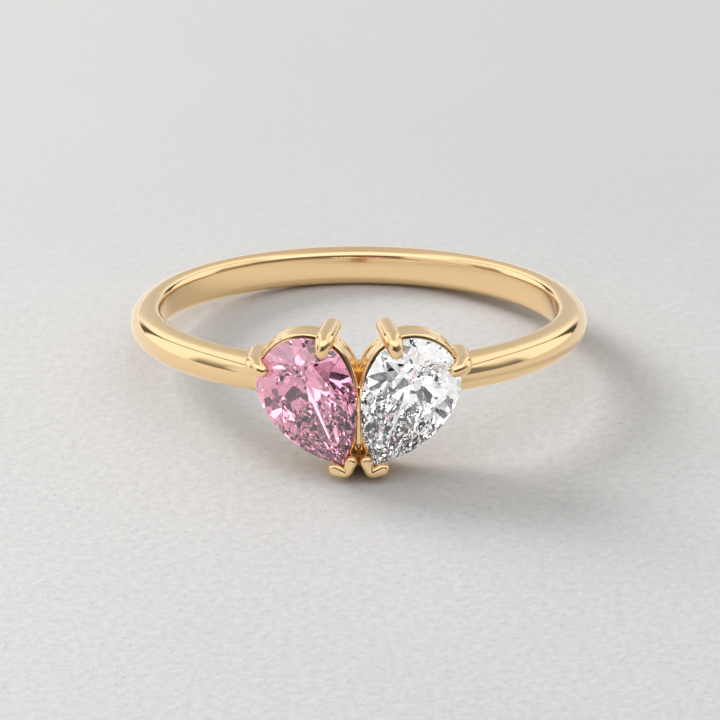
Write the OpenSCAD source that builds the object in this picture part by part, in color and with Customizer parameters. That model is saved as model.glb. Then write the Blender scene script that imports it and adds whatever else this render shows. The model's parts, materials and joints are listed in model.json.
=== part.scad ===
// Finger ring with two pear stones set side by side in joined collars.
// Lengths are millimetres. The ring is drawn with its finger hole upright and
// its stones towards -Y, then laid down on its side as it comes to rest.

/* [Finger hole and band] */
// Inner diameter, which sets the finger size
finger_d = 16.5; // [15:0.1:20]
// Thickness of the band from the finger outwards
band_t = 1.27; // [1.1:0.01:1.6]
// Height of the band along the finger
band_h = 1.6; // [1.3:0.05:2]
// Rounding of the two edges against the finger
inner_round = 0.4; // [0.2:0.05:0.5]
// Squareness of the outer side: 2 is an ellipse, more is squarer
band_fullness = 2.4; // [2:0.1:3]

/* [Stones] */
// Width of each pear stone
stone_w = 3.9; // [3.8:0.05:4]
// Length of each pear stone, point to round end
stone_l = 5.7; // [5.4:0.05:5.9]
// Half of the angle between the two flanks at the point
point_half_angle = 48; // [44:1:52]
// Height of the crown above the girdle
crown_h = 0.56; // [0.45:0.01:0.65]
// Thickness of the girdle
girdle_t = 0.16; // [0.12:0.01:0.2]
// Depth of the pavilion below the girdle
pavilion_h = 1.7; // [1.5:0.05:1.8]
// Slope of the main crown facets
crown_angle = 34; // [32:1:37]

/* [Placing of the settings] */
// Distance of a stone's round centre from the middle plane
head_x = 2.27; // [2.25:0.01:2.35]
// Distance of the girdles from the finger's axis
head_y = 10.3; // [10.2:0.05:10.5]
// Height of the round centres above the middle of the band
head_z = 0.2; // [0:0.05:0.4]
// Angle by which each stone turns away from the middle
head_splay = 8; // [6:0.5:10]
// Angle by which each pear leans, points towards each other
pear_lean = 26; // [24:0.5:28]

/* [Collars] */
// How far the collar stands outside the stone's edge
collar_out = 0.12; // [0.08:0.01:0.16]
// How far the seat reaches in under the stone's edge
collar_in = 0.4; // [0.3:0.01:0.42]
// Depth of the collar's front edge behind the girdle
lip_front = 0.4; // [0.35:0.01:0.5]
// Depth of the collar's back edge behind the girdle
collar_back = 1.5; // [1.4:0.05:1.7]
// How far the base behind the collar stands inside the stone's edge
base_in = 0.3; // [0.25:0.05:0.35]
// How far the opening through the base stands inside the stone's edge
base_opening_in = 0.6; // [0.5:0.05:0.65]

/* [Claws] */
// Radius of a claw's wire at its heel
claw_r_back = 0.39; // [0.37:0.01:0.44]
// Radius of a claw's wire at its knee
claw_r_knee = 0.35; // [0.32:0.01:0.36]
// Radius of a claw's tip
claw_r_tip = 0.22; // [0.18:0.01:0.26]
// Depth of the point claws' heels, on which the ring lies
point_claw_back = 1.7; // [1.6:0.05:1.8]

/* [Hidden] */
$fn = 64;
gold = "goldenrod";

// The metal keeps this gap to the stones, and is trimmed this far outside the finger hole.
stone_gap = 0.03;
finger_trim = 0.02;

finger_r = finger_d / 2;
half_h = band_h / 2;

// Pear outline: a half circle, two flank arcs tangent to it and two straight stretches to the point.
round_r = stone_w / 2;
point_y = stone_l - round_r;
flank_cot = 1 / tan(point_half_angle);
// The flank arc turns through point_half_angle, and its radius makes the length come out.
flank_r = (point_y - round_r * flank_cot)
    / (sin(point_half_angle) - (1 - cos(point_half_angle)) * flank_cot);
flank_shift = flank_r - round_r;
// Where a shrunk outline's flanks come closer than this to the middle, it ends without them.
least_flat = 0.01;

// Directions in which the girdle faces where the crown's main facets meet it, and half way
// between them, from the point round to the round end.
main_turns = [-36, -6, 42, 90];
half_turns = [-46, -21, 18, 66];
// Outline points between two of those.
girdle_steps = 3;
// Share of the crown's height at which the star facets end.
star_share = 0.52;
// Share of the way from the culet out to the girdle at which the pavilion's halves begin.
half_share = 0.24;
culet_y = -0.1;
// The table stops this far short of the point, in crown heights.
point_table_run = 2.15;

// The left stone's claws: the direction of each from the stone's round centre, its distance
// outside the stone's edge, the way it bends, the reach of its tip and the depth of its heel.
// Behind its heel each one turns in to the base, by the last two values across and back.
claws = [
    [65, 0.15, 258, 0.45, 1.85, 0.6, 0.55],
    [159, 0.19, 338, 0.38, 1.6, 0.55, 0]
];
// The balls at its joints stand this much out of the wire.
joint_over = 0.015;
claw_knee = -0.27;
claw_tip = -0.5;

// The claw at the point is a V of three joined round bars, with a foot like the other claws'.
v_corner = [0, -0.26];
v_arm = [0.36, 0.12];
v_corner_r = 0.26;
v_arm_r = 0.22;
v_front = -0.24;
v_foot = [0.6, 0.55];

// The rail round a collar's back edge.
rail_out = 0.06;
rail_front = 1.15;
rail_back = 0.05;

// Depths at which the base starts, at which its narrower opening starts, and past the finger hole.
base_front = 1.3;
opening_step = 1.1;
through = 4.2;

// Gold that closes the gap between the two collars.
strip_w = 0.3;
strip_top = 0.12;
strip_bottom = -2.45;
strip_front = 10.1;

// Lying down, the ring rests on the heels of the point claws and on the back of the band.
v_drop = (point_y - v_corner[1]) * cos(pear_lean) + v_corner_r + joint_over - head_z;
v_rest_y = head_y + (point_y - v_corner[1]) * sin(pear_lean) * sin(head_splay)
    - point_claw_back * cos(head_splay);
band_rest_y = finger_r + inner_round + 0.18;
tilt = atan((v_drop - half_h) / (v_rest_y + band_rest_y));
rest_h = v_drop * cos(tilt) - v_rest_y * sin(tilt);

// Front and back of the laid-down ring, which place the origin under its middle. The foremost
// corner of a table stands this far before its centre and below the middle of the band.
table_corner = [0.15, 2.1];
front_y = -(head_y + girdle_t / 2 + crown_h + table_corner[0]) * cos(tilt) - table_corner[1] * sin(tilt);
back_y = (finger_r + band_t) * cos(tilt) + 0.02;
middle_y = (front_y + back_y) / 2;

function outline_at(turn, grow) = turn > 0
    ? (round_r + grow) * [cos(turn), sin(turn)]
    : [(flank_r + grow) * cos(turn) - flank_shift, (flank_r + grow) * sin(turn)];

function point_at(grow) = [0, -point_y - grow / sin(point_half_angle)];

// One round of girdle stations: the point first, then up the right side, over the round end
// and down the left side, main and half stations in turn.
function mirrored(p) = [-p[0], p[1]];
function right_turns() = [for (i = [0:3]) each [half_turns[i], main_turns[i]]];
function stations(grow) =
    let (right = [for (t = right_turns()) outline_at(t, grow)])
    concat([point_at(grow)], right, [for (i = [6:-1:0]) mirrored(right[i])]);

// Directions in which the girdle faces at the eight main stations.
function facings() = concat([-90], main_turns, [for (i = [2:-1:0]) 180 - main_turns[i]]);

// Outline points from station i to the next one, on the true curve.
function between(i, grow) =
    let (
        turns = right_turns(),
        side = i < 8 ? i : 15 - i,
        pts = side == 0
            ? [for (s = [0:girdle_steps])
                point_at(grow) + (outline_at(turns[0], grow) - point_at(grow)) * s / girdle_steps]
            : [for (s = [0:girdle_steps])
                outline_at(turns[side - 1] + (turns[side] - turns[side - 1]) * s / girdle_steps, grow)],
        row = i < 8 ? pts : [for (s = [girdle_steps:-1:0]) mirrored(pts[s])]
    )
    [for (s = [0:girdle_steps - 1]) row[s]];

function unit(turn) = [cos(turn), sin(turn)];
function meet(p, na, q, nb) =
    let (d = na[0] * nb[1] - na[1] * nb[0], a = na * p, b = nb * q)
    [a * nb[1] - b * na[1], b * na[0] - a * nb[0]] / d;

// Height of the plane through three points, above a point of the outline.
function plane_z(a, b, c, p) =
    let (n = cross(b - a, c - a))
    a[2] - (n[0] * (p[0] - a[0]) + n[1] * (p[1] - a[1])) / n[2];

function raised(p, z) = [p[0], p[1], z];
function wrap(i, n) = (i + n) % n;

// A pear brilliant, girdle at z = 0 and table upwards: 8 mains, 8 stars, 16 halves and a table
// above the girdle, 8 mains and 16 halves below it. It can be grown evenly for its clearance.
module brilliant(grow = 0) {
    top = girdle_t / 2 + 0.6 * grow;
    table = girdle_t / 2 + crown_h + grow;
    low = -top;
    culet = [0, culet_y, -girdle_t / 2 - pavilion_h - 1.3 * grow];
    st = stations(grow);
    main = [for (j = [0:7]) st[2 * j]];
    face = [for (t = facings()) unit(t)];
    run = [for (j = [0:7]) (table - top) * (j == 0 ? point_table_run : 1 / tan(crown_angle))];
    table_pts = [for (j = [0:7]) raised(main[j] - run[j] * face[j], table)];
    outer = [for (j = [0:7]) meet(main[j], face[j], main[wrap(j + 1, 8)], face[wrap(j + 1, 8)])];
    upper = [for (j = [0:7]) let (k = wrap(j + 1, 8))
        meet(main[j] - run[j] * face[j], face[j], main[k] - run[k] * face[k], face[k])];
    star = [for (j = [0:7])
        raised(outer[j], top) + star_share * (raised(upper[j], table) - raised(outer[j], top))];
    lower = [for (j = [0:7]) culet + half_share * (raised(outer[j], low) - culet)];
    ring = [for (i = [0:15]) each between(i, grow)];
    n = len(ring);
    crown_edge = [for (q = [0:n - 1]) let (i = floor(q / girdle_steps), j = floor(i / 2))
        raised(ring[q], plane_z(raised(st[i], top), raised(st[wrap(i + 1, 16)], top), star[j], ring[q]))];
    keel_edge = [for (q = [0:n - 1]) let (i = floor(q / girdle_steps), j = floor(i / 2))
        raised(ring[q], plane_z(raised(st[i], low), raised(st[wrap(i + 1, 16)], low), lower[j], ring[q]))];
    pts = concat(table_pts, star, crown_edge, keel_edge, lower, [culet]);
    s0 = 8;
    c0 = 16;
    k0 = c0 + n;
    l0 = k0 + n;
    tip = l0 + 8;
    faces = concat(
        [[for (j = [7:-1:0]) j]],
        [for (j = [0:7]) [j, wrap(j + 1, 8), s0 + j]],
        [for (j = [0:7]) [j, s0 + j, c0 + 2 * j * girdle_steps, s0 + wrap(j - 1, 8)]],
        [for (i = [0:15]) concat([s0 + floor(i / 2)],
            [for (s = [girdle_steps:-1:0]) c0 + wrap(i * girdle_steps + s, n)])],
        [for (q = [0:n - 1]) [c0 + q, c0 + wrap(q + 1, n), k0 + wrap(q + 1, n), k0 + q]],
        [for (i = [0:15]) concat([l0 + floor(i / 2)],
            [for (s = [0:girdle_steps]) k0 + wrap(i * girdle_steps + s, n)])],
        [for (j = [0:7]) [tip, l0 + wrap(j - 1, 8), k0 + 2 * j * girdle_steps, l0 + j]]
    );
    polyhedron(points = pts, faces = faces, convexity = 4);
}

// The pear outline grown outwards, or shrunk with a negative value.
module pear_2d(grow) {
    whole = [for (t = [-point_half_angle:6:90]) outline_at(t, grow)];
    side = [for (p = whole) if (p[0] > least_flat || p[1] > 0) p];
    n = len(side);
    tip = whole[0][0] > least_flat ? [point_at(grow)] : [];
    polygon(concat(tip, side, [for (i = [n - 1:-1:0]) mirrored(side[i])]));
}

// A pear prism between two depths behind the girdle.
module pear_prism(grow, front, back) {
    translate([0, 0, -back]) linear_extrude(back - front) pear_2d(grow);
}

// Puts a shape drawn round one stone, girdle in XY and table upwards, at the left setting.
module at_head() {
    translate([-head_x, -head_y, head_z])
        rotate([0, 0, -head_splay])
            rotate([90, 0, 0])
                children();
}

module lean() {
    rotate(pear_lean) children();
}

// Section of the band: straight against the finger, rounded edges, full outer side.
function fillet(from, z0, s) = [for (a = [0:15:75]) let (t = from + a)
    [finger_r + inner_round - inner_round * cos(t), z0 + s * inner_round * sin(t)]];
function power(v) = sign(v) * pow(abs(v), 2 / band_fullness);
function outer_side() = [for (a = [90:-7.5:-90])
    [finger_r + inner_round + (band_t - inner_round) * power(cos(a)), half_h * power(sin(a))]];
function low_fillet() = [for (a = [75:-15:0])
    [finger_r + inner_round - inner_round * cos(a), -(half_h - inner_round) - inner_round * sin(a)]];

module band_ring() {
    rotate_extrude() polygon(concat(fillet(0, half_h - inner_round, 1), outer_side(), low_fillet()));
}

// Seat and wall of one collar, the rail round its back edge and the base behind it.
module collar() {
    lean() {
        pear_prism(collar_out, lip_front, collar_back);
        pear_prism(collar_out + rail_out, rail_front, collar_back - rail_back);
        pear_prism(-base_in, base_front, through);
    }
}

// A tapering rod from one point to another.
module rod(from, to, r_from, r_to) {
    d = to - from;
    length = norm(d);
    translate(from)
        rotate([0, acos(d[2] / length), atan2(d[1], d[0])])
            cylinder(h = length, r1 = r_from, r2 = r_to);
}

// A ball, which rounds the joint of two rods or the end of one.
module ball(at, r) {
    translate(at) sphere(r);
}

// One claw: a foot in the base, a heel behind the collar, a knee in front of the girdle and a tip
// over the crown.
module claw(at, out, bend, reach, back, foot_in, foot_back) {
    post = (round_r + out) * unit(at);
    heel = raised(post, -back);
    knee = raised(post, -claw_knee);
    tip = raised(post + reach * unit(bend), -claw_tip);
    rod(raised(post - foot_in * unit(at), -back - foot_back), heel, claw_r_knee, claw_r_back);
    ball(heel, claw_r_back + joint_over);
    rod(heel, knee, claw_r_back, claw_r_knee);
    ball(knee, claw_r_knee + joint_over);
    rod(knee, tip, claw_r_knee, claw_r_tip);
    ball(tip, claw_r_tip);
}

// A straight plate between two round bars.
module web_2d(a, b, ra, rb) {
    side = [a[1] - b[1], b[0] - a[0]] / norm(b - a);
    polygon([a + ra * side, b + rb * side, b - rb * side, a - ra * side]);
}

// The V claw that wraps the point of the pear.
module point_claw() {
    tip = point_at(0);
    corner = tip + v_corner;
    translate([0, 0, -point_claw_back]) linear_extrude(point_claw_back - v_front) {
        translate(corner) circle(v_corner_r);
        for (s = [-1, 1]) {
            arm = tip + [s * v_arm[0], v_arm[1]];
            translate(arm) circle(v_arm_r);
            web_2d(corner, arm, v_corner_r, v_arm_r);
        }
    }
    heel = raised(corner, -point_claw_back);
    rod(raised(corner + [0, v_foot[0]], -point_claw_back - v_foot[1]), heel, v_arm_r, v_arm_r);
    ball(heel, v_corner_r + joint_over);
}

// All the gold round the left stone, cut clear of the stone and of the finger.
module left_head() {
    difference() {
        at_head() difference() {
            union() {
                collar();
                for (c = claws) claw(c[0], c[1], c[2], c[3], c[4], c[5], c[6]);
                lean() point_claw();
            }
            lean() brilliant(stone_gap);
        }
        finger_space();
    }
}

module finger_space() {
    cylinder(h = 20, r = finger_r + finger_trim, center = true);
}

// The opening under each stone, through the collar and then narrower through base and band.
module stone_opening() {
    at_head() lean() {
        pear_prism(-collar_in, lip_front - 0.2, opening_step);
        pear_prism(-base_opening_in, lip_front, through);
    }
}

module strip() {
    difference() {
        translate([-strip_w / 2, -strip_front, strip_bottom])
            cube([strip_w, strip_front - finger_r + 1, strip_top - strip_bottom]);
        finger_space();
    }
}

module both_sides() {
    children();
    mirror([1, 0, 0]) children();
}

// Lays the ring down and puts the origin on the floor under its middle.
module laid_down() {
    translate([0, -middle_y, rest_h]) rotate([-tilt, 0, 0]) children();
}

module band_with_settings() {
    color(gold) laid_down() difference() {
        union() {
            band_ring();
            both_sides() left_head();
            strip();
        }
        both_sides() stone_opening();
    }
}

module pink_stone() {
    color("hotpink") laid_down() at_head() lean() brilliant();
}

module white_stone() {
    color("whitesmoke") laid_down() mirror([1, 0, 0]) at_head() lean() brilliant();
}

band_with_settings();
pink_stone();
white_stone();
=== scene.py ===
"""Finger ring with a pink and a white pear stone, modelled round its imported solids."""
import json
from math import acos, atan2, cos, pi, radians, sin, sqrt, tan

import bmesh
import bpy
from bpy.props import FloatProperty, FloatVectorProperty, IntProperty, PointerProperty
from mathutils import Matrix, Vector


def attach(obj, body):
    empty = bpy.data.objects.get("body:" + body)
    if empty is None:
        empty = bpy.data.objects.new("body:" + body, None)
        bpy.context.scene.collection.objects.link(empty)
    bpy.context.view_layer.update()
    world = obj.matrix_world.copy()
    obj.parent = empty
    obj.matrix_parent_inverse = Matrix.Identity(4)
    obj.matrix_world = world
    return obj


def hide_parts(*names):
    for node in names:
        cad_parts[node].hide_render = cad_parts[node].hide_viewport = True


bl_info = {
    "name": "Pear Stone Ring",
    "version": (1, 0, 0),
    "blender": (4, 5, 0),
    "location": "View3D > Sidebar > Ring",
    "description": "Builds a finger ring with two pear stones in joined claw collars",
    "category": "Add Mesh",
}

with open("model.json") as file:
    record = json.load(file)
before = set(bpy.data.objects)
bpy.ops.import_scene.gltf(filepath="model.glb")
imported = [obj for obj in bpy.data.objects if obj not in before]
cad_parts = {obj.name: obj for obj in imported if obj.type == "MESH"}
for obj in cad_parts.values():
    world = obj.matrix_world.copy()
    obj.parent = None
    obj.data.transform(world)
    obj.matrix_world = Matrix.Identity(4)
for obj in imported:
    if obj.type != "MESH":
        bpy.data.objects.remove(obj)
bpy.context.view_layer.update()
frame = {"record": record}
HOLE = next(m for m in frame["record"]["mounts"] if m["name"] == "finger_hole")
FINGER_R = HOLE["dims"]["r_mm"] / 1000
MM = 0.001
GOLD_NODE = "band_with_settings"
# Edges that turn by more than this are shaded sharp, on the gold and on the cut stones.
SHARP = radians(35)
FACET_SHARP = radians(3)


def length(name, about, value):
    return FloatProperty(name=name, description=about, default=value * MM, unit="LENGTH", precision=5)


def angle(name, about, value):
    return FloatProperty(name=name, description=about, default=radians(value), subtype="ANGLE")


def number(name, about, value):
    return FloatProperty(name=name, description=about, default=value)


def colour(name, about, value):
    return FloatVectorProperty(name=name, description=about, default=value, subtype="COLOR",
                               size=4, min=0, max=1)


class BandSizes(bpy.types.PropertyGroup):
    """Sizes of the band."""
    thickness: length("Thickness", "From the finger outwards", 1.27)
    height: length("Height", "Along the finger", 1.6)
    inner_round: length("Inner rounding", "Rounding of the edges against the finger", 0.4)
    fullness: number("Fullness", "Squareness of the outer side, 2 for an ellipse", 2.0)
    turns: IntProperty(name="Steps", description="Steps round the band", default=288)


class StoneSizes(bpy.types.PropertyGroup):
    """Sizes of one pear stone."""
    width: length("Width", "Across the round end", 3.9)
    length: length("Length", "From the point to the round end", 5.7)
    half_angle: angle("Half angle", "Half of the angle between the flanks at the point", 48)
    crown: length("Crown", "Height of the crown above the girdle", 0.56)
    girdle: length("Girdle", "Thickness of the girdle", 0.16)
    pavilion: length("Pavilion", "Depth of the pavilion below the girdle", 1.7)
    crown_angle: angle("Crown angle", "Slope of the main crown facets", 34)


class SettingSizes(bpy.types.PropertyGroup):
    """Places and sizes of the two settings."""
    aside: length("Aside", "Distance of a stone's round centre from the middle", 2.27)
    forward: length("Forward", "Distance of the girdles from the finger's axis", 10.3)
    above: length("Above", "Height of the round centres above the middle of the band", 0.2)
    splay: angle("Splay", "Turn of each stone away from the middle", 8)
    lean: angle("Lean", "Lean of each pear, points towards each other", 26)
    collar_out: length("Collar out", "Reach of the collar outside the stone's edge", 0.12)
    collar_front: length("Collar front", "Depth of the collar's front edge behind the girdle", 0.4)
    collar_back: length("Collar back", "Depth of the collar's back edge behind the girdle", 1.5)
    seat_in: length("Seat in", "Reach of the seat under the stone's edge", 0.4)
    base_in: length("Base in", "Distance of the base inside the stone's edge", 0.3)
    opening_in: length("Opening in", "Distance of the base's opening inside the stone's edge", 0.6)


class ClawSizes(bpy.types.PropertyGroup):
    """Sizes of the claws."""
    heel_r: length("Heel radius", "Radius of a claw's wire at its heel", 0.41)
    knee_r: length("Knee radius", "Radius of a claw's wire at its knee", 0.41)
    tip_r: length("Tip radius", "Radius of a claw's tip", 0.29)
    point_back: length("Point claw back", "Depth of the point claws' heels", 1.7)


class Finishes(bpy.types.PropertyGroup):
    """Colours of the metal, the stones and the floor."""
    gold: colour("Gold", "Colour of the gold's reflections", (1.0, 0.72, 0.36, 1))
    pink: colour("Pink", "Tint of the pink stone", (0.78, 0.315, 0.455, 1))
    white: colour("White", "Tint of the white stone", (0.98, 0.985, 1.0, 1))
    floor: colour("Floor", "Colour of the plaster floor", (0.635, 0.627, 0.618, 1))


def props():
    """The scene's own copies of the property groups."""
    s = bpy.context.scene
    return s.ring_band, s.ring_stone, s.ring_setting, s.ring_claw, s.ring_finish


def ring_place():
    """The ring's own frame, finger axis up and stones towards -Y, as the ring lies."""
    lean = atan2(HOLE["axis"][1], HOLE["axis"][2])
    return Matrix.Translation(HOLE["pos_m"]) @ Matrix.Rotation(-lean, 4, "X")


def setting_place(side):
    """One setting in the ring's frame: girdle in XY, table up; side is -1 for the left one."""
    setting = props()[2]
    left = (
        Matrix.Translation((-setting.aside, -setting.forward, setting.above))
        @ Matrix.Rotation(-setting.splay, 4, "Z")
        @ Matrix.Rotation(pi / 2, 4, "X")
    )
    return left if side < 0 else Matrix.Diagonal((-1, 1, 1, 1)) @ left


def lean_place():
    return Matrix.Rotation(props()[2].lean, 4, "Z")


def add_piece(bm, name, material, place, node, sharp=SHARP):
    """Turns a bmesh drawn in the ring's frame into a finished piece that stands for its node."""
    bmesh.ops.transform(bm, matrix=ring_place() @ place, verts=bm.verts)
    bmesh.ops.recalc_face_normals(bm, faces=bm.faces)
    mesh = bpy.data.meshes.new(name)
    bm.to_mesh(mesh)
    bm.free()
    mesh.shade_smooth()
    mesh.set_sharp_from_angle(angle=sharp)
    mesh.materials.append(material)
    piece = bpy.data.objects.new(name, mesh)
    bpy.context.scene.collection.objects.link(piece)
    # Light that has passed through a stone goes past the gold, so the stones stay clear.
    piece.visible_transmission = node != GOLD_NODE
    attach(piece, "root")
    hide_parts(node)
    return piece


def add_loop(bm, points):
    """A closed loop of edges through the points, with its vertices in order."""
    verts = [bm.verts.new(p) for p in points]
    return verts, [bm.edges.new((a, b)) for a, b in zip(verts, verts[1:] + verts[:1])]


def loft(bm, rows, closed=False):
    """Extrudes a loop through rows of points that match one to one; returns its first and last loops."""
    verts, edges = add_loop(bm, rows[0])
    first = edges
    for row in rows[1:]:
        made = bmesh.ops.extrude_edge_only(bm, edges=edges)["geom"]
        new = {g for g in made if isinstance(g, bmesh.types.BMVert)}
        verts = [next(e.other_vert(v) for e in v.link_edges if e.other_vert(v) in new) for v in verts]
        for v, p in zip(verts, row):
            v.co = p
        edges = [g for g in made if isinstance(g, bmesh.types.BMEdge) and new.issuperset(g.verts)]
    if closed:
        bmesh.ops.bridge_loops(bm, edges=edges + first)
    return first, edges


def bridge(bm, loops):
    """Faces between each loop of a wire and the next one."""
    for a, b in zip(loops, loops[1:]):
        bmesh.ops.bridge_loops(bm, edges=a + b)


class Pear:
    """The pear outline of a stone: a half circle, two flank arcs and straight stretches to the point."""

    def __init__(self, stone):
        self.half = stone.half_angle
        self.round_r = stone.width / 2
        self.point_y = stone.length - self.round_r
        cot = 1 / tan(self.half)
        self.flank_r = (self.point_y - self.round_r * cot) / (sin(self.half) - (1 - cos(self.half)) * cot)
        self.shift = self.flank_r - self.round_r

    def at(self, turn, grow=0.0):
        """The point of the right side that faces in the direction turn."""
        if turn > 0:
            return Vector((cos(turn), sin(turn))) * (self.round_r + grow)
        r = self.flank_r + grow
        return Vector((r * cos(turn) - self.shift, r * sin(turn)))

    def point(self, grow=0.0):
        return Vector((0, -self.point_y - grow / sin(self.half)))

    def outline(self, grow=0.0, step=radians(2), straight=4):
        """Points from the tip up the right side, over the round end and down the left side."""
        turns = -self.half
        count = int((pi / 2 + self.half) / step)
        side = [self.at(turns + (pi / 2 - turns) * i / count, grow) for i in range(count + 1)]
        tip = self.point(grow)
        run = [tip.lerp(side[0], i / straight) for i in range(1, straight)]
        right = run + side
        left = [Vector((-p.x, p.y)) for p in reversed(right[:-1])]
        return [tip] + right + left


def raised(points, z):
    return [Vector((p.x, p.y, z)) for p in points]


def on_finger(points, place, radius):
    """The points of an outline carried back along its own axis to the finger hole's wall."""
    back = (place.to_3x3() @ Vector((0, 0, -1))).normalized()
    out = []
    for p in points:
        start = place @ Vector((p.x, p.y, 0))
        a = back.x ** 2 + back.y ** 2
        b = 2 * (start.x * back.x + start.y * back.y)
        c = start.x ** 2 + start.y ** 2 - radius ** 2
        run = (-b - sqrt(b * b - 4 * a * c)) / (2 * a)
        out.append(Vector((p.x, p.y, -run)))
    return out


def apply_cut(piece, cutter):
    """Cuts one object's mesh out of another's and removes the cutter."""
    knife = piece.modifiers.new("cut", "BOOLEAN")
    knife.operation = "DIFFERENCE"
    knife.solver = "EXACT"
    knife.use_self = True
    knife.object = cutter
    graph = bpy.context.evaluated_depsgraph_get()
    graph.update()
    mesh = bpy.data.meshes.new_from_object(piece.evaluated_get(graph))
    piece.modifiers.clear()
    mesh.set_sharp_from_angle(angle=SHARP)
    old = piece.data
    piece.data = mesh
    bpy.data.meshes.remove(old)
    bpy.data.objects.remove(cutter)


# Depths behind the girdle, in millimetres, between which the openings are drawn.
OPENING_DEPTHS = (0.9, 2.4, 4.2)


def opening_cutter():
    """The two pear openings that run through the band behind the stones."""
    stone, setting = props()[1:3]
    pear = Pear(stone)
    bm = bmesh.new()
    for side in (-1, 1):
        shape = bmesh.new()
        outline = pear.outline(-setting.opening_in)
        for loop in loft(shape, [raised(outline, -z * MM) for z in OPENING_DEPTHS]):
            bmesh.ops.contextual_create(shape, geom=loop)
        place = ring_place() @ setting_place(side) @ lean_place()
        bmesh.ops.transform(shape, matrix=place, verts=shape.verts)
        bmesh.ops.recalc_face_normals(shape, faces=shape.faces)
        part = bpy.data.meshes.new("opening")
        shape.to_mesh(part)
        shape.free()
        bm.from_mesh(part)
        bpy.data.meshes.remove(part)
    mesh = bpy.data.meshes.new("openings")
    bm.to_mesh(mesh)
    bm.free()
    cutter = bpy.data.objects.new("openings", mesh)
    bpy.context.scene.collection.objects.link(cutter)
    return cutter


# Degrees between the points of the inner rounding, and steps over the outer side.
FILLET_STEP = 9
OUTER_STEPS = 40


def band_section(band):
    """Closed section of the band as (distance from the axis, height)."""
    half_h = band.height / 2
    inner = FINGER_R + band.inner_round
    straight = half_h - band.inner_round
    fillet = [radians(a) for a in range(0, 90, FILLET_STEP)]
    low = [(inner - band.inner_round * cos(a), -straight - band.inner_round * sin(a))
           for a in reversed(fillet)]
    high = [(r, -z) for r, z in reversed(low)]
    outer = []
    power = 2 / band.fullness
    for i in range(OUTER_STEPS + 1):
        a = pi / 2 - pi * i / OUTER_STEPS
        out = (band.thickness - band.inner_round) * abs(cos(a)) ** power
        up = half_h * abs(sin(a)) ** power
        outer.append((inner + out, up if a >= 0 else -up))
    middle = [(FINGER_R, 0)]
    return low + middle + high + outer


class RING_OT_band(bpy.types.Operator):
    """Spin the band's section round the finger and open it behind the stones"""
    bl_idname = "ring.band"
    bl_label = "Band"

    def execute(self, context):
        band = props()[0]
        bm = bmesh.new()
        verts, section = add_loop(bm, [(r, 0, z) for r, z in band_section(band)])
        bmesh.ops.spin(bm, geom=verts + section, cent=(0, 0, 0), axis=(0, 0, 1), angle=2 * pi,
                       steps=band.turns, use_merge=True, use_duplicate=False)
        piece = add_piece(bm, "band", gold_material(), Matrix.Identity(4), GOLD_NODE)
        apply_cut(piece, opening_cutter())
        return {"FINISHED"}


# Parts of the collar's section in millimetres, as steps from its corners: growth and depth.
SEAT = ((0.0, 0.16), (0.02, 0.13), (0.1, 0.075), (0.13, 0.06), (0.16, 0.065))
LIP = (
    (-0.16, 0.15), (-0.14, 0.152), (-0.12, 0.135), (-0.11, 0.035), (-0.1, 0.012), (-0.09, 0.0),
    (-0.08, 0.002), (-0.05, 0.022), (-0.02, 0.047), (-0.005, 0.063), (0.0, 0.08),
)
# The wall flares outwards, a rail swells behind it, and the back edge is rounded.
WALL_FLARE = 0.012
WALL_TOP = 0.035
WALL_RUN = 0.62
WALL_SHARES = (0.15, 0.3, 0.5, 0.7, 0.85, 1)
RAIL_OUT = 0.048
RAIL_UP = 0.4
RAIL_RUN = 0.13
RAIL_TURNS = (30, 60, 90, 120, 150, 180)
EDGE_R = 0.08
EDGE_OUT = -0.02
EDGE_TURNS = (0, 15, 30, 45, 60, 75, 90)
# The way from the back to the base, and from the opening up under the seat.
BEHIND = ((0.06, 0.0), (0.018, 0.018), (0.0, 0.06))
BEHIND_OUT = -0.2
INSIDE = ((0.0, -0.2), (0.01, -0.27), (0.05, -0.3))
UNDER_SEAT = ((-0.05, -0.3), (-0.01, -0.33), (0.0, -0.38))
# Distance of the bases from the finger hole's wall, and the width of their narrow edges there.
BASE_GAP = 0.02
BASE_EDGE = 0.02


def steps_from(growth, depth, steps):
    """The steps of a section laid off from one of its corners."""
    return [(growth + g, depth + d) for g, d in steps]


def collar_profile(setting):
    """The collar's section as (growth of the outline, depth), in millimetres, from the seat outwards."""
    out = setting.collar_out / MM
    front = setting.collar_front / MM
    back = setting.collar_back / MM
    seat = -setting.seat_in / MM
    base = -setting.base_in / MM
    opening = -setting.opening_in / MM
    lip = steps_from(seat, front, SEAT) + steps_from(out, front, LIP)
    wall = [(out + WALL_FLARE * t * t, front + WALL_TOP + WALL_RUN * t) for t in WALL_SHARES]
    rail = [(out + WALL_FLARE + RAIL_OUT * (0.5 - 0.5 * cos(radians(a))), back - RAIL_UP + RAIL_RUN * a / 180)
            for a in RAIL_TURNS]
    edge = [(out + EDGE_OUT + EDGE_R * cos(radians(a)), back - EDGE_R + EDGE_R * sin(radians(a)))
            for a in EDGE_TURNS]
    behind = [(out + BEHIND_OUT, back)] + steps_from(base, back, BEHIND)
    inside = steps_from(opening, back, INSIDE) + steps_from(seat, back, UNDER_SEAT)
    return lip + wall + rail + edge + behind, inside


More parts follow.
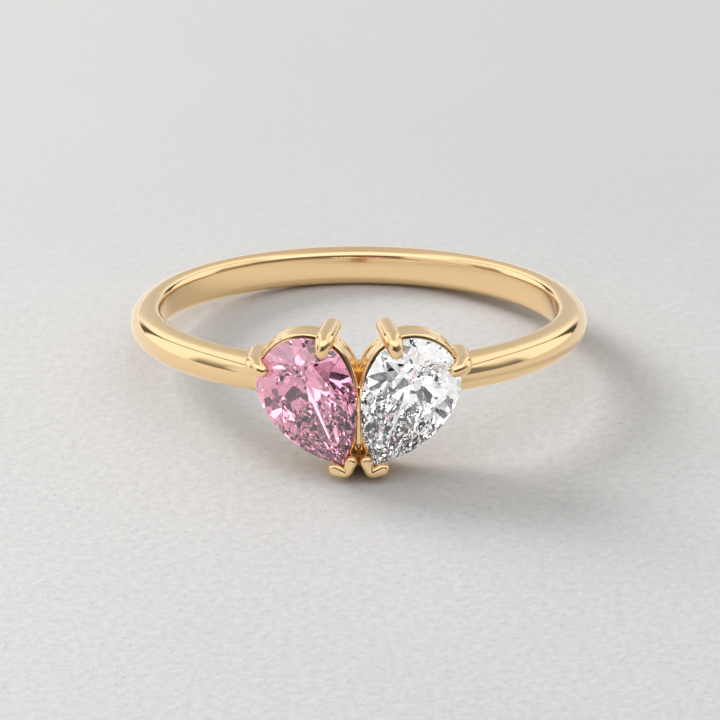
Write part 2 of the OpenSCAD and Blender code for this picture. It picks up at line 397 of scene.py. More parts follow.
class RING_OT_collars(bpy.types.Operator):
    """Loft the two pear collars and their bases down to the finger hole"""
    bl_idname = "ring.collars"
    bl_label = "Collars"

    def execute(self, context):
        stone, setting = props()[1:3]
        pear = Pear(stone)
        outside, inside = collar_profile(setting)
        hole = FINGER_R + BASE_GAP * MM
        for side, word in ((-1, "left"), (1, "right")):
            place = setting_place(side) @ lean_place()
            rows = [raised(pear.outline(g * MM), -d * MM) for g, d in outside]
            for grow in (-setting.base_in, -setting.base_in - BASE_EDGE * MM,
                         -setting.opening_in + BASE_EDGE * MM, -setting.opening_in):
                rows.append(on_finger(pear.outline(grow), place, hole))
            rows += [raised(pear.outline(g * MM), -d * MM) for g, d in inside]
            bm = bmesh.new()
            loft(bm, rows, closed=True)
            add_piece(bm, "collar_" + word, gold_material(), place, GOLD_NODE)
        return {"FINISHED"}


# Directions, in degrees, in which the girdle faces at the main and half stations of the right side.
MAIN_TURNS = (-36, -6, 42, 90)
HALF_TURNS = (-46, -21, 18, 66)
# How far up the crown the stars start, and how far out from the culet the lower halves reach.
STAR_SHARE = 0.52
HALF_SHARE = 0.24
CULET_Y = -0.1
# Run of the crown facet over the point, in heights of the crown.
POINT_TABLE_RUN = 2.15
# Turn between the points of the girdle's curves, and how near a plane a corner counts as on it.
GIRDLE_STEP = radians(1.5)
ON_PLANE = 1e-8


def cut(bm, co, normal):
    """Cuts away what lies beyond a plane and closes the stone with one flat facet."""
    geom = bm.verts[:] + bm.edges[:] + bm.faces[:]
    done = bmesh.ops.bisect_plane(bm, geom=geom, dist=ON_PLANE, plane_co=co, plane_no=normal,
                                  clear_outer=True)
    edges = [g for g in done["geom_cut"] if isinstance(g, bmesh.types.BMEdge)]
    if edges:
        bmesh.ops.contextual_create(bm, geom=edges)


def plane(a, b, c, outside):
    """The plane through three points, with its normal on the side of the point outside."""
    normal = (b - a).cross(c - a).normalized()
    if normal.dot(outside - a) < 0:
        normal = -normal
    return a, normal


def meet(p, na, q, nb):
    """Where the lines through p and q, square to the normals na and nb, cross."""
    d = na.x * nb.y - na.y * nb.x
    a = na.dot(p)
    b = nb.dot(q)
    return Vector((a * nb.y - b * na.y, b * na.x - a * nb.x)) / d


def facet_planes(stone):
    """Table, mains, stars and halves of the pear brilliant, as (point, normal)."""
    pear = Pear(stone)
    turns = [radians(t) for pair in zip(HALF_TURNS, MAIN_TURNS) for t in pair]
    right = [pear.at(t) for t in turns]
    st = [pear.point()] + right + [Vector((-p.x, p.y)) for p in reversed(right[:-1])]
    mains = [radians(t) for t in MAIN_TURNS]
    facing = [-pi / 2] + mains + [pi - t for t in reversed(mains[:-1])]
    face = [Vector((cos(t), sin(t))) for t in facing]
    top = stone.girdle / 2
    table = top + stone.crown
    culet = Vector((0, CULET_Y * MM, -top - stone.pavilion))
    main = [st[2 * j] for j in range(8)]
    run = [stone.crown * (POINT_TABLE_RUN if j == 0 else 1 / tan(stone.crown_angle)) for j in range(8)]
    planes = [(Vector((0, 0, table)), Vector((0, 0, 1)))]
    high = Vector((0, 0, 1))
    low = Vector((0, 0, -1))
    for j in range(8):
        k = (j + 1) % 8
        inner_j = main[j] - face[j] * run[j]
        inner_k = main[k] - face[k] * run[k]
        outer = meet(main[j], face[j], main[k], face[k])
        upper = meet(inner_j, face[j], inner_k, face[k])
        star = outer.to_3d().lerp(upper.to_3d(), STAR_SHARE)
        star.z = top + STAR_SHARE * stone.crown
        side = Vector((-face[j].y, face[j].x, 0))
        edge = main[j].to_3d() + Vector((0, 0, top))
        planes.append(plane(edge, edge + side, inner_j.to_3d() + Vector((0, 0, table)), high))
        planes.append(plane(inner_j.to_3d() + Vector((0, 0, table)), inner_k.to_3d() + Vector((0, 0, table)),
                            star, high))
        a, b, c = (st[(2 * j + s) % 16].to_3d() for s in range(3))
        lift = Vector((0, 0, top))
        planes.append(plane(a + lift, b + lift, star, high))
        planes.append(plane(b + lift, c + lift, star, high))
        half = culet.lerp(outer.to_3d() - lift, HALF_SHARE)
        planes.append(plane(edge - 2 * lift, edge - 2 * lift + side, culet, low))
        planes.append(plane(a - lift, b - lift, half, low))
        planes.append(plane(b - lift, c - lift, half, low))
    return planes


def cut_stone(grow=0.0):
    """A bmesh of one stone, cut facet by facet out of a pear prism, grown by a distance."""
    stone = props()[1]
    bm = bmesh.new()
    rough = stone.pavilion + stone.girdle
    outline = Pear(stone).outline(grow, step=GIRDLE_STEP)
    for loop in loft(bm, [raised(outline, z) for z in (-rough, rough)]):
        bmesh.ops.contextual_create(bm, geom=loop)
    bmesh.ops.recalc_face_normals(bm, faces=bm.faces)
    for co, normal in facet_planes(stone):
        cut(bm, co + normal * grow, normal)
    return bm


def stone_cutter(side):
    """A stone grown by the gap that the claws keep from it, as a cutter."""
    bm = cut_stone(CLAW_STONE_GAP * MM)
    bmesh.ops.transform(bm, matrix=ring_place() @ setting_place(side) @ lean_place(), verts=bm.verts)
    bmesh.ops.recalc_face_normals(bm, faces=bm.faces)
    mesh = bpy.data.meshes.new("stone_space")
    bm.to_mesh(mesh)
    bm.free()
    cutter = bpy.data.objects.new("stone_space", mesh)
    bpy.context.scene.collection.objects.link(cutter)
    return cutter


# Share of an end stretch, and of a middle one, that a rounded corner may take.
END_SHARE = 0.9
MIDDLE_SHARE = 0.48
# Turns, in degrees, of the loops that round off a wire's ends.
END_TURNS = (20, 38, 54, 68, 80)


def smooth_path(points, radii, reach, steps=12):
    """Stations (place, radius) along a path whose corners are rounded within the given reach."""
    places = [(points[0], radii[0])]
    for i in range(1, len(points) - 1):
        before = points[i - 1] - points[i]
        after = points[i + 1] - points[i]
        a_len = min(reach, before.length * (END_SHARE if i == 1 else MIDDLE_SHARE))
        b_len = min(reach, after.length * (END_SHARE if i == len(points) - 2 else MIDDLE_SHARE))
        a = points[i] + before.normalized() * a_len
        b = points[i] + after.normalized() * b_len
        a_r = radii[i] + (radii[i - 1] - radii[i]) * a_len / before.length
        b_r = radii[i] + (radii[i + 1] - radii[i]) * b_len / after.length
        for s in range(steps + 1):
            t = s / steps
            middle = a.lerp(points[i], t).lerp(points[i].lerp(b, t), t)
            r = (a_r * (1 - t) + radii[i] * t) * (1 - t) + (radii[i] * (1 - t) + b_r * t) * t
            places.append((middle, r))
    places.append((points[-1], radii[-1]))
    return places


def sweep(bm, stations, segments=40):
    """A round wire through the stations, with rounded ends."""
    ends = []
    for (end, r), before in ((stations[-1], stations[-2][0]), (stations[0], stations[1][0])):
        along = (end - before).normalized()
        ends.append([(end + along * r * sin(a), r * cos(a)) for a in (radians(d) for d in END_TURNS)])
    stations = ends[1][::-1] + stations + ends[0]
    loops = []
    tangent = None
    turn = None
    for i, (middle, r) in enumerate(stations):
        ahead = stations[min(i + 1, len(stations) - 1)][0]
        behind = stations[max(i - 1, 0)][0]
        new = (ahead - behind).normalized()
        if turn is None:
            turn = new.to_track_quat("Z", "Y")
        else:
            turn = tangent.rotation_difference(new) @ turn
        tangent = new
        place = Matrix.Translation(middle) @ turn.to_matrix().to_4x4()
        ring = bmesh.ops.create_circle(bm, segments=segments, radius=r, matrix=place)
        loops.append(list(dict.fromkeys(e for v in ring["verts"] for e in v.link_edges)))
    bridge(bm, loops)
    for loop in (loops[0], loops[-1]):
        bmesh.ops.contextual_create(bm, geom=loop)


# Each left claw: name, direction, distance outside, way of the bend, reach, heel depth, foot in and back.
CLAWS = (
    ("upper", 65, 0.15, 258, 0.41, 1.85, 0.6, 0.45),
    ("side", 159, 0.2, 338, 0.36, 1.6, 0.55, 0.0),
)
# Heights of knees and tips before the girdle, a heel's run outwards, the bends and the gap to the stone.
KNEE_FRONT = 0.3
TIP_FRONT = 0.4
HEEL_OUT = 0.13
CLAW_BEND = 0.45
CLAW_STONE_GAP = 0.02


class RING_OT_claws(bpy.types.Operator):
    """Sweep the four wire claws from the bases over the crowns"""
    bl_idname = "ring.claws"
    bl_label = "Claws"

    def execute(self, context):
        stone = props()[1]
        claw = props()[3]
        for side, word in ((-1, "left"), (1, "right")):
            for name, at, out, bend, reach, back, foot_in, foot_back in CLAWS:
                facing = Vector((cos(radians(at)), sin(radians(at)), 0))
                over = Vector((cos(radians(bend)), sin(radians(bend)), 0))
                post = facing * (stone.width / 2 + out * MM)
                heel = post + facing * HEEL_OUT * MM + Vector((0, 0, -(back + HEEL_OUT) * MM))
                knee = post + Vector((0, 0, KNEE_FRONT * MM))
                foot = heel - facing * foot_in * MM - Vector((0, 0, foot_back * MM))
                tip = post + over * reach * MM + Vector((0, 0, TIP_FRONT * MM))
                radii = [claw.knee_r, claw.heel_r, claw.knee_r, claw.tip_r]
                bm = bmesh.new()
                sweep(bm, smooth_path([foot, heel, knee, tip], radii, CLAW_BEND * MM))
                place = setting_place(side)
                piece = add_piece(bm, f"claw_{name}_{word}", gold_material(), place, GOLD_NODE)
                apply_cut(piece, stone_cutter(side))
        return {"FINISHED"}


# The point claw's outline in millimetres: radii of its corner and arms, their places and its notch.
V_CORNER_R = 0.41
V_ARM_R = 0.28
V_CORNER_DROP = 0.13
V_ARM = (0.37, -0.02)
V_NOTCH = -0.06
# Its front before the girdle, and how far the front edge is rounded in and back.
V_FRONT = 0.29
V_PUFF = 0.17
V_ROUND = 0.24
# Its back edge as (inset, depth before the back), and its foot's run, place and bend.
V_BACK_EDGE = ((0.1, 0.0), (0.03, 0.03), (0.0, 0.1))
V_FOOT = (0, 0.62, -0.6)
V_FOOT_IN = 0.04
V_FOOT_BEND = 0.2
# Steps round its corner and round each arm, and turns of its rounded front in degrees.
V_CORNER_STEPS = 8
V_ARM_STEPS = 16
V_FRONT_TURNS = range(0, 91, 10)


def v_outline(inset):
    """Outline of a point claw round the pear's tip, in millimetres, drawn in by an inset."""
    corner = Vector((0, -V_CORNER_DROP))
    arm = Vector(V_ARM)
    corner_r = V_CORNER_R - inset
    arm_r = V_ARM_R - inset
    run = arm - corner
    under = atan2(run.y, run.x) - acos((V_CORNER_R - V_ARM_R) / run.length)
    notch = Vector((0, V_NOTCH))
    inner = arm - notch
    over = atan2(inner.y, inner.x) + acos(-V_ARM_R / inner.length)
    notch.y -= inset / sin(over)
    right = [corner + corner_r * Vector((cos(a), sin(a)))
             for a in (-pi / 2 + (under + pi / 2) * i / V_CORNER_STEPS for i in range(V_CORNER_STEPS + 1))]
    right += [arm + arm_r * Vector((cos(a), sin(a)))
              for a in (under + (over - under) * i / V_ARM_STEPS for i in range(V_ARM_STEPS + 1))]
    left = [Vector((-p.x, p.y)) for p in reversed(right[1:])]
    return right + [notch] + left


class RING_OT_point_claws(bpy.types.Operator):
    """Shape the V claws that wrap the points of the stones"""
    bl_idname = "ring.point_claws"
    bl_label = "Point claws"

    def execute(self, context):
        stone = props()[1]
        claw = props()[3]
        tip = Pear(stone).point()
        back = claw.point_back / MM
        puff = [(V_PUFF * (1 - cos(a)), V_FRONT - V_ROUND * (1 - sin(a)))
                for a in (radians(d) for d in V_FRONT_TURNS)]
        for side, word in ((-1, "left"), (1, "right")):
            bm = bmesh.new()
            rows = []
            for inset, height in [(inset, -back + up) for inset, up in V_BACK_EDGE] + puff:
                rows.append([Vector((p.x * MM + tip.x, p.y * MM + tip.y, height * MM))
                             for p in v_outline(inset)])
            for loop in loft(bm, rows):
                bmesh.ops.contextual_create(bm, geom=loop)
            corner = Vector((tip.x, tip.y - V_CORNER_DROP * MM, -claw.point_back + V_FOOT_IN * MM))
            foot = corner + Vector(V_FOOT) * MM
            stations = smooth_path([foot, corner], [V_ARM_R * MM, V_CORNER_R * MM], V_FOOT_BEND * MM)
            sweep(bm, stations)
            place = setting_place(side) @ lean_place()
            piece = add_piece(bm, "point_claw_" + word, gold_material(), place, GOLD_NODE)
            apply_cut(piece, stone_cutter(side))
        return {"FINISHED"}


# Rounding of the strip's edges, and distance of its back from the finger hole.
STRIP_EDGE = 0.12
STRIP_BACK = 0.1
# Width, front, top and bottom of the strip between the collars and of the block behind its lower end.
STRIP = (
    (0.32, 10.26, 0.12, -2.45),
    (0.5, 9.75, -2.0, -2.86),
)


class RING_OT_strip(bpy.types.Operator):
    """Close the gap between the two collars"""
    bl_idname = "ring.strip"
    bl_label = "Strip"

    def execute(self, context):
        bm = bmesh.new()
        back = FINGER_R / MM + STRIP_BACK
        for wide, front, top, bottom in STRIP:
            size = Vector((wide, front - back, top - bottom)) * MM
            middle = Vector((0, -(front + back) / 2, (top + bottom) / 2)) * MM
            place = Matrix.Translation(middle) @ Matrix.Diagonal((*size, 1))
            made = bmesh.ops.create_cube(bm, size=1, matrix=place)["verts"]
            edges = list(dict.fromkeys(e for v in made for e in v.link_edges))
            bmesh.ops.bevel(bm, geom=edges, offset=STRIP_EDGE * MM, offset_type="OFFSET", segments=5,
                            profile=0.5, affect="EDGES", material=-1, clamp_overlap=True)
        add_piece(bm, "strip", gold_material(), Matrix.Identity(4), GOLD_NODE)
        return {"FINISHED"}


class RING_OT_stones(bpy.types.Operator):
    """Cut the two pear brilliants, facet by facet"""
    bl_idname = "ring.stones"
    bl_label = "Stones"

    def execute(self, context):
        finishes = {
            "pink": (-1, pink_material, "pink_stone", "pink_gem"),
            "white": (1, white_material, "white_stone", "white_gem"),
        }
        for name, (side, material, node, slot) in finishes.items():
            place = setting_place(side) @ lean_place()
            add_piece(cut_stone(), "stone_" + name, material(), place, node, sharp=FACET_SHARP)
        return {"FINISHED"}


# How strongly the plaster's grain shows far off, and how much its clouds, grain and pits change its tone.
FLOOR_FAR = 0.2
FLOOR_CLOUD = 0.06
FLOOR_GRAIN = 0.26
FLOOR_PIT = 0.16
# Scale and detail of the noises behind them.
CLOUD_NOISE = (90, 4)
TOOTH_NOISE = (2600, 8)
PIT_NOISE = (4200, 2)
PIT_EDGE = (0.27, 0.35)
TOOTH_STRENGTH = 0.35
TOOTH_DEPTH = 0.00012
# Depths between which the grain fades towards the back.
GRAIN_FADE = (0.03, -0.012)
# Painted light: how much brighter the floor's colour is made where it is seen in reflections, and how matt it
# is.
FLOOR_PAINTED_GLOW = 0.3
FLOOR_ROUGHNESS = 0.9
FLOOR_SPECULAR = 0.1
# Painted shade: the floor's colour is made this much darker to the right of the ring than to its left, and
# behind it than in front.
FLOOR_RIGHT_SHADE = 0.05
FLOOR_BEHIND_SHADE = 0.05
RIGHT_SHADE_EDGE = (-0.022, 0.012)
BEHIND_SHADE_EDGE = (-0.01, 0.03)


def math_node(tree, operation, *values):
    """One Math node; each value is a number or an output to link."""
    node = tree.nodes.new("ShaderNodeMath")
    node.operation = operation
    for socket, value in zip(node.inputs, values):
        if isinstance(value, bpy.types.NodeSocket):
            tree.links.new(value, socket)
        else:
            socket.default_value = value
    return node.outputs[0]


def noise_node(tree, place, scale, detail):
    """A noise of one scale and detail over the given place."""
    node = tree.nodes.new("ShaderNodeTexNoise")
    node.inputs["Scale"].default_value = scale
    node.inputs["Detail"].default_value = detail
    tree.links.new(place, node.inputs["Vector"])
    return node.outputs["Fac"]


def new_material(name):
    """An empty node material and its Principled shader."""
    material = bpy.data.materials.new(name)
    material.use_nodes = True
    tree = material.node_tree
    shader = tree.nodes["Principled BSDF"]
    return material, tree, shader


# Scale and detail of the noises in the polish, the share of the finest one and the depth of the dents.
SHEEN_NOISE = (900, 3)
DENT_NOISE = (700, 2)
GRAIN_NOISE = (9000, 3)
POLISH_GRAIN = 0.12
DENT_DEPTH = 0.00001
GOLD_POLISH = {"Roughness": 0.02, "Spread": 0.02, "Bump": 0.05}
# How strongly the stones bend light.
PINK_INDEX = 2.3
WHITE_INDEX = 2.42


def polish_group():
    """Faint unevenness of polished metal: roughness and normal out of object coordinates."""
    group = bpy.data.node_groups.get("polish")
    if group:
        return group
    group = bpy.data.node_groups.new("polish", "ShaderNodeTree")
    face = group.interface
    for name in GOLD_POLISH:
        face.new_socket(name, in_out="INPUT", socket_type="NodeSocketFloat")
    face.new_socket("Roughness", in_out="OUTPUT", socket_type="NodeSocketFloat")
    face.new_socket("Normal", in_out="OUTPUT", socket_type="NodeSocketVector")
    nodes, links = group.nodes, group.links
    inputs = nodes.new("NodeGroupInput")
    outputs = nodes.new("NodeGroupOutput")
    place = nodes.new("ShaderNodeTexCoord").outputs["Object"]
    sheen = noise_node(group, place, *SHEEN_NOISE)
    rough = math_node(group, "MULTIPLY_ADD", sheen, inputs.outputs["Spread"], inputs.outputs["Roughness"])
    links.new(rough, outputs.inputs["Roughness"])
    dents = noise_node(group, place, *DENT_NOISE)
    grain = noise_node(group, place, *GRAIN_NOISE)
    height = math_node(group, "MULTIPLY_ADD", grain, POLISH_GRAIN, dents)
    bump = nodes.new("ShaderNodeBump")
    bump.inputs["Distance"].default_value = DENT_DEPTH
    links.new(inputs.outputs["Bump"], bump.inputs["Strength"])
    links.new(height, bump.inputs["Height"])
    links.new(bump.outputs["Normal"], outputs.inputs["Normal"])
    return group


def use_group(tree, group, values):
    """Places a shader group in a material with its own input values."""
    node = tree.nodes.new("ShaderNodeGroup")
    node.node_tree = group
    for name, value in values.items():
        node.inputs[name].default_value = value
    return node


def gold_material():
    """Polished yellow gold."""
    material = bpy.data.materials.get("gold")
    if material:
        return material
    material, tree, shader = new_material("gold")
    shader.inputs["Base Color"].default_value = props()[4].gold
    shader.inputs["Metallic"].default_value = 1
    polish = use_group(tree, polish_group(), GOLD_POLISH)
    tree.links.new(polish.outputs["Roughness"], shader.inputs["Roughness"])
    tree.links.new(polish.outputs["Normal"], shader.inputs["Normal"])
    return material


def gem_material(name, tint, index):
    """Clear cut stone with a tint."""
    material, _, shader = new_material(name)
    shader.inputs["Base Color"].default_value = tint
    shader.inputs["Roughness"].default_value = 0
    shader.inputs["IOR"].default_value = index
    shader.inputs["Transmission Weight"].default_value = 1
    return material


def pink_material():
    return gem_material("pink_gem", props()[4].pink, PINK_INDEX)


def white_material():
    return gem_material("white_gem", props()[4].white, WHITE_INDEX)


def floor_material():
    """Matt plaster with a fine tooth and small pits, clearest in front of the ring, with painted shade to the
    right and behind it and a painted brightening where it is seen in reflections.
    """
    material, tree, shader = new_material("plaster")
    nodes, links = tree.nodes, tree.links
    place = nodes.new("ShaderNodeTexCoord").outputs["Object"]
    depth = nodes.new("ShaderNodeSeparateXYZ")
    links.new(place, depth.inputs["Vector"])
    near = smooth_step(tree, depth.outputs["Y"], *GRAIN_FADE, FLOOR_FAR, 1.0)
    cloud = noise_node(tree, place, *CLOUD_NOISE)
    tooth = noise_node(tree, place, *TOOTH_NOISE)
    pit = smooth_step(tree, noise_node(tree, place, *PIT_NOISE), *PIT_EDGE, 1.0, 0.0)
    mark = math_node(tree, "MULTIPLY_ADD", cloud, FLOOR_CLOUD, -0.5 * FLOOR_CLOUD)
    grain = math_node(tree, "MULTIPLY_ADD", tooth, FLOOR_GRAIN, -0.5 * FLOOR_GRAIN)
    grain = math_node(tree, "MULTIPLY_ADD", pit, -FLOOR_PIT, grain)
    tone = math_node(tree, "MULTIPLY_ADD", grain, near, mark)
    # Painted shade: the floor's colour is darkened to the right of the ring and behind it.
    for axis, edge, darker in (("X", RIGHT_SHADE_EDGE, FLOOR_RIGHT_SHADE), ("Y", BEHIND_SHADE_EDGE, FLOOR_BEHIND_SHADE)):
        tone = math_node(tree, "ADD", tone, smooth_step(tree, depth.outputs[axis], *edge, 0.0, -darker))
    # Painted highlight: the floor's colour is made brighter for reflection rays, so it shows brighter in
    # reflections than it is.
    seen = nodes.new("ShaderNodeLightPath").outputs["Is Glossy Ray"]
    tone = math_node(tree, "ADD", tone, math_node(tree, "MULTIPLY_ADD", seen, FLOOR_PAINTED_GLOW, 1.0))
    shade = nodes.new("ShaderNodeVectorMath")
    shade.operation = "SCALE"
    shade.inputs[0].default_value = props()[4].floor[:3]
    links.new(tone, shade.inputs["Scale"])
    links.new(shade.outputs["Vector"], shader.inputs["Base Color"])
    bump = nodes.new("ShaderNodeBump")
    bump.inputs["Strength"].default_value = TOOTH_STRENGTH
    bump.inputs["Distance"].default_value = TOOTH_DEPTH
    links.new(math_node(tree, "MULTIPLY", tooth, near), bump.inputs["Height"])
    links.new(bump.outputs["Normal"], shader.inputs["Normal"])
    shader.inputs["Roughness"].default_value = FLOOR_ROUGHNESS
    shader.inputs["Specular IOR Level"].default_value = FLOOR_SPECULAR
    return material


# Brightness of the studio by how far a direction points to a side: dim middle, panels and side walls.
PANELS = (
    (0.0, 0.56), (0.18, 0.60), (0.30, 0.66), (0.36, 0.76), (0.42, 0.94), (0.48, 1.15), (1.0, 1.15),
)
# The dark gap between panels and walls: its start and end at the horizon and overhead, lean and tone.
GAP_IN = ((0.46, 0.62), (0.685, 0.705))
GAP_OUT = ((0.70, 0.745), (0.715, 0.735))
GAP_RISE = (0.05, 0.4)
GAP_LEAN = 0.06
GAP_DARK = 0.02
# Between these depths towards the viewer the panels give way to the darker front of the studio.
FRONT_DEPTH = (-0.42, -0.12)
# The front's tone at the horizon, how much brighter it is at the sides, and its bright upper part.
FRONT_DARK = 0.015
FRONT_SIDE = 0.22
FRONT_TOP = (0.42, 0.66)
FRONT_BRIGHT = 1.25
# The window in the front: its direction, how sharp its edge is and how bright it is.
WINDOW_AIM = (-0.72, -0.60, 0.34)
WINDOW_EDGE = (0.90, 0.945)
WINDOW_BRIGHT = 0.85
# Towards the viewer's side the walls fade to this share of their brightness at the horizon.
WALL_LOW = 0.18
WALL_RISE = (0.10, 0.65)
WALL_DEPTH = (-0.08, 0.15)
# The light that the floor gets: from the horizon, from overhead, and how much more comes from the front.
SKY_LOW = 0.1
SKY_HIGH = 0.95
SKY_FRONT = 0.15
# What the stones look out at: bright and dark patches of a noise, in all directions.
PATCH_NOISE = (5.0, 1)
PATCHES = (
    (0.0, 0.0), (0.40, 0.01), (0.42, 0.09), (0.47, 0.38), (0.50, 0.74), (0.57, 0.99), (0.60, 2.6), (1.0, 3.0),
)


def mix_node(tree, share, a, b):
    """The value a, turned into b by a share."""
    node = tree.nodes.new("ShaderNodeMix")
    node.data_type = "RGBA"
    for name, value in (("Factor", share), ("A", a), ("B", b)):
        tree.links.new(value, node.inputs[name])
    return node.outputs["Result"]


def smooth_step(tree, value, low, high, start=0.0, end=1.0):
    """A soft change from start to end as the value goes from low to high."""
    node = tree.nodes.new("ShaderNodeMapRange")
    node.interpolation_type = "SMOOTHSTEP"
    tree.links.new(value, node.inputs["Value"])
    for name, setting in (("From Min", low), ("From Max", high), ("To Min", start), ("To Max", end)):
        node.inputs[name].default_value = setting
    return node.outputs["Result"]


def moving_step(tree, value, share, low, high):
    """A soft step whose start and end move from the pair low to the pair high with a share."""
    start = math_node(tree, "MULTIPLY_ADD", share, high[0] - low[0], low[0])
    run = math_node(tree, "MULTIPLY_ADD", share, high[1] - high[0] - low[1] + low[0], low[1] - low[0])
    past = math_node(tree, "SUBTRACT", value, start)
    return smooth_step(tree, math_node(tree, "DIVIDE", past, run), 0.0, 1.0)


def grey_ramp(tree, value, stops):
    """A ramp of greys through (position, grey) stops."""
    node = tree.nodes.new("ShaderNodeValToRGB")
    tree.links.new(value, node.inputs["Fac"])
    marks = node.color_ramp.elements
    marks.remove(marks[1])
    for i, (position, grey) in enumerate(stops):
        mark = marks[0] if i == 0 else marks.new(position)
        mark.position = position
        mark.color = (grey, grey, grey, 1)
    return node.outputs["Color"]


def studio_world():
    """The studio round the ring: panels, side walls and a dark front, with a patchwork for the stones."""
    world = bpy.data.worlds.new("studio")
    bpy.context.scene.world = world
    world.use_nodes = True
    tree = world.node_tree
    direction = tree.nodes.new("ShaderNodeTexCoord").outputs["Generated"]
    parts = tree.nodes.new("ShaderNodeSeparateXYZ")
    tree.links.new(direction, parts.inputs["Vector"])
    aside = math_node(tree, "ABSOLUTE", parts.outputs["X"])
    up = math_node(tree, "MAXIMUM", parts.outputs["Z"], 0.0)
    back = math_node(tree, "MAXIMUM", parts.outputs["Y"], 0.0)
    high = smooth_step(tree, up, *GAP_RISE)
    place = math_node(tree, "MULTIPLY_ADD", back, GAP_LEAN, aside)
    inner = moving_step(tree, place, high, *GAP_IN)
    outer = moving_step(tree, place, high, *GAP_OUT)
    lit = math_node(tree, "MAXIMUM", math_node(tree, "SUBTRACT", 1.0, inner), outer)
    lit = math_node(tree, "MAXIMUM", lit, GAP_DARK)
    panels = math_node(tree, "MULTIPLY", grey_ramp(tree, aside, PANELS), lit)
    low = smooth_step(tree, up, *WALL_RISE, WALL_LOW, 1.0)
    deep = smooth_step(tree, parts.outputs["Y"], *WALL_DEPTH)
    panels = math_node(tree, "MULTIPLY", panels, math_node(tree, "MAXIMUM", low, deep))
    front = math_node(tree, "MULTIPLY_ADD", aside, FRONT_SIDE, FRONT_DARK)
    front = math_node(tree, "ADD", front, smooth_step(tree, up, *FRONT_TOP, 0.0, FRONT_BRIGHT))
    toward = tree.nodes.new("ShaderNodeVectorMath")
    toward.operation = "DOT_PRODUCT"
    toward.inputs[1].default_value = Vector(WINDOW_AIM).normalized()
    tree.links.new(direction, toward.inputs[0])
    window = smooth_step(tree, toward.outputs["Value"], *WINDOW_EDGE, 0.0, WINDOW_BRIGHT)
    front = math_node(tree, "MAXIMUM", front, window)
    share = smooth_step(tree, parts.outputs["Y"], *FRONT_DEPTH)
    room = mix_node(tree, share, front, panels)
    patches = grey_ramp(tree, noise_node(tree, direction, *PATCH_NOISE), PATCHES)
    sky = math_node(tree, "MULTIPLY_ADD", up, SKY_HIGH - SKY_LOW, SKY_LOW)
    sky = math_node(tree, "MULTIPLY_ADD", parts.outputs["Y"], -SKY_FRONT, sky)
    path = tree.nodes.new("ShaderNodeLightPath").outputs
    room = mix_node(tree, path["Is Diffuse Ray"], room, sky)
    seen = mix_node(tree, path["Is Transmission Ray"], room, patches)
    tree.links.new(seen, tree.nodes["Background"].inputs["Color"])


def area_light(name, place, target, size, power):
    """A square softbox aimed at the ring."""
    light = bpy.data.lights.new(name, "AREA")
    light.size = size
    light.energy = power
    lamp = bpy.data.objects.new(name, light)
    lamp.location = place
    lamp.rotation_euler = (Vector(place) - Vector(target)).to_track_quat("Z", "Y").to_euler()
    lamp.visible_glossy = False
    bpy.context.scene.collection.objects.link(lamp)


# The key lamp's power, place and size, then the camera and what it aims at beside the hole's middle.
KEY_WATTS = 2.6
KEY_PLACE = (-0.43, 0.30, 0.29)
KEY_SIZE = 0.26
CAMERA_RISE = 16.0
CAMERA_DISTANCE = 0.6
CAMERA_LENS = 718.5
AIM_BELOW = 0.00164
AIM_RIGHT = 0.000054
SENSOR = 36
CLIP_START = 0.01
# Half the floor's width, and how often a ray may bounce.
FLOOR_HALF = 2.0
BOUNCES = 24
GLOSSY_BOUNCES = 12


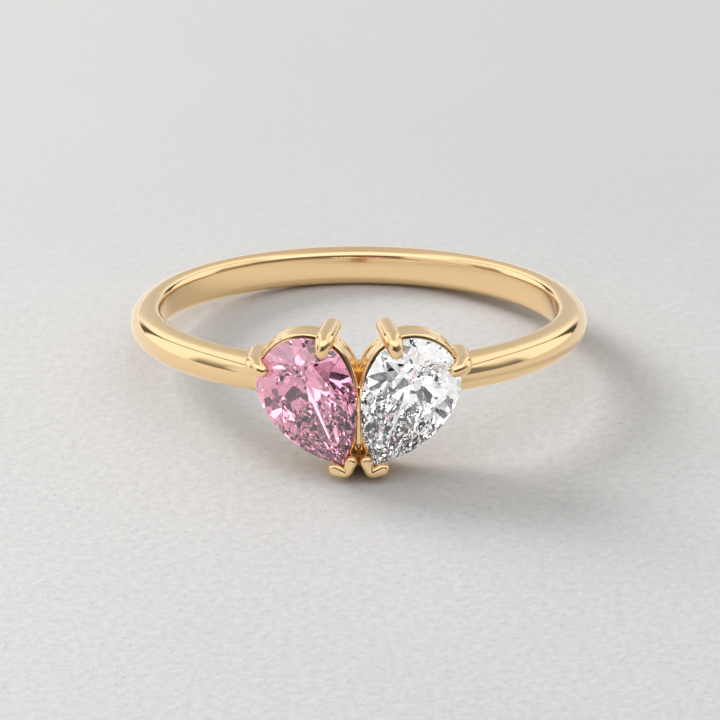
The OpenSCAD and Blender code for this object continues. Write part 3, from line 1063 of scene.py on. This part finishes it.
class RING_OT_stage(bpy.types.Operator):
    """Lay the floor and place the camera and the lights"""
    bl_idname = "ring.stage"
    bl_label = "Stage"

    def execute(self, context):
        scene = context.scene
        bm = bmesh.new()
        bmesh.ops.create_grid(bm, x_segments=1, y_segments=1, size=FLOOR_HALF)
        mesh = bpy.data.meshes.new("floor")
        bm.to_mesh(mesh)
        bm.free()
        mesh.materials.append(floor_material())
        floor = bpy.data.objects.new("floor", mesh)
        scene.collection.objects.link(floor)
        studio_world()
        middle = Vector(HOLE["pos_m"])
        rise = radians(CAMERA_RISE) + atan2(HOLE["axis"][1], HOLE["axis"][2])
        ahead = Vector((0, cos(rise), -sin(rise)))
        upward = Vector((0, sin(rise), cos(rise)))
        aim = middle - upward * AIM_BELOW + Vector((AIM_RIGHT, 0, 0))
        lens = bpy.data.cameras.new("camera")
        lens.lens = CAMERA_LENS
        lens.sensor_width = SENSOR
        lens.clip_start = CLIP_START
        camera = bpy.data.objects.new("camera", lens)
        camera.location = aim - ahead * CAMERA_DISTANCE
        camera.rotation_euler = ahead.to_track_quat("-Z", "Y").to_euler()
        scene.collection.objects.link(camera)
        scene.camera = camera
        area_light("key", KEY_PLACE, middle, KEY_SIZE, KEY_WATTS)
        scene.view_settings.view_transform = "Standard"
        scene.view_settings.look = "Medium High Contrast"
        scene.cycles.max_bounces = BOUNCES
        scene.cycles.transmission_bounces = BOUNCES
        scene.cycles.glossy_bounces = GLOSSY_BOUNCES
        scene.cycles.use_denoising = True
        return {"FINISHED"}


class RING_PT_panel(bpy.types.Panel):
    """Lists the pieces of the ring"""
    bl_label = "Ring"
    bl_idname = "RING_PT_panel"
    bl_space_type = "VIEW_3D"
    bl_region_type = "UI"
    bl_category = "Ring"

    def draw(self, context):
        for step in STEPS:
            self.layout.operator(step.bl_idname)


STEPS = (
    RING_OT_stage,
    RING_OT_band,
    RING_OT_collars,
    RING_OT_claws,
    RING_OT_point_claws,
    RING_OT_strip,
    RING_OT_stones,
)
GROUPS = {
    "ring_band": BandSizes,
    "ring_stone": StoneSizes,
    "ring_setting": SettingSizes,
    "ring_claw": ClawSizes,
    "ring_finish": Finishes,
}


def register():
    for name, group in GROUPS.items():
        bpy.utils.register_class(group)
        setattr(bpy.types.Scene, name, PointerProperty(type=group))
    for step in STEPS:
        bpy.utils.register_class(step)
    bpy.utils.register_class(RING_PT_panel)


def unregister():
    bpy.utils.unregister_class(RING_PT_panel)
    for step in reversed(STEPS):
        bpy.utils.unregister_class(step)
    for name, group in GROUPS.items():
        delattr(bpy.types.Scene, name)
        bpy.utils.unregister_class(group)


def main():
    register()
    bpy.ops.ring.stage()
    bpy.ops.ring.band()
    bpy.ops.ring.collars()
    bpy.ops.ring.claws()
    bpy.ops.ring.point_claws()
    bpy.ops.ring.strip()
    bpy.ops.ring.stones()
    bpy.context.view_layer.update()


if __name__ == "__main__":
    main()
